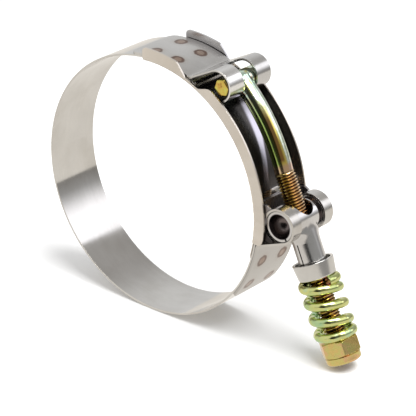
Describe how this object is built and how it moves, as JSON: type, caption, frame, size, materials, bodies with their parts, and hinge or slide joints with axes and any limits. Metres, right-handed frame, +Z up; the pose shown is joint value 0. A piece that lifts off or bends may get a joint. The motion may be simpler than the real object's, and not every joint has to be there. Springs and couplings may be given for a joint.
{
  "type": "spring-loaded t-bolt hose clamp",
  "caption": "Band clamp for a hose joint: a wide band and inner bridge drawn tight by a curved T-head bolt, with a spring under its lock nut that keeps the grip.",
  "frame": {"origin": "centre of the ring, on its axis, midway across the band", "axes": "+Y along the ring's axis, +Z up as the clamp stands on its band and its nut, +X towards the two lugs and the bolt"},
  "size_m": [0.1167, 0.021, 0.088],
  "materials": {
    "band_steel": "satin stainless strip",
    "strap_steel": "satin stainless with brown weld tint",
    "sleeve_steel": "bright rolled stainless",
    "yellow_zinc": "iridescent yellow passivated zinc",
    "spring_zinc": "yellow-green passivated zinc",
    "lock_plastic": "plain nylon"
  },
  "bodies": {
    "ring": {"band": "band_steel", "bridge": "band_steel", "bolt_strap": "strap_steel"},
    "lug": {"barrel_strap": "strap_steel", "saddle": "strap_steel"},
    "sleeve": {"barrel_sleeve": "sleeve_steel", "spring_cup": "sleeve_steel"},
    "bolt": {"t_bolt": "yellow_zinc"},
    "spring_end": {"spring": "spring_zinc"},
    "nut": {"lock_nut": "yellow_zinc", "lock_ring": "lock_plastic"}
  },
  "joints": [
    {"name": "band_close", "type": "hinge", "parent": "ring", "child": "lug", "pos_m": [0, 0, 0], "axis": [0, -1, 0], "range_deg": [0, 11]},
    {"name": "sleeve_pivot", "type": "hinge", "parent": "lug", "child": "sleeve", "pos_m": [0.05071, 0, 0.00159], "axis": [0, -1, 0], "range_deg": [-6.38, 0]},
    {"name": "bolt_pivot", "type": "hinge", "parent": "ring", "child": "bolt", "pos_m": [0.02774, 0, 0.03979], "axis": [0, -1, 0], "range_deg": [0, 4.66]},
    {"name": "nut_travel", "type": "slide", "parent": "bolt", "child": "spring_end", "axis": [-0.4099, 0, 0.9121], "range_m": [0, 0.01271], "deforming": ["spring"]},
    {"name": "nut_turn", "type": "hinge", "parent": "spring_end", "child": "nut", "pos_m": [0.05071, 0, 0.00159], "axis": [-0.4099, 0, 0.9121], "range_deg": [0, 5040]}
  ],
  "couplings": [
    {"joint": "sleeve_pivot", "follows": "band_close", "ratio": -0.5782},
    {"joint": "bolt_pivot", "follows": "band_close", "ratio": 0.4218},
    {"joint": "nut_travel", "follows": "band_close", "m_per_rad": 0.066151},
    {"joint": "nut_turn", "follows": "band_close", "ratio": 458.18}
  ]
}
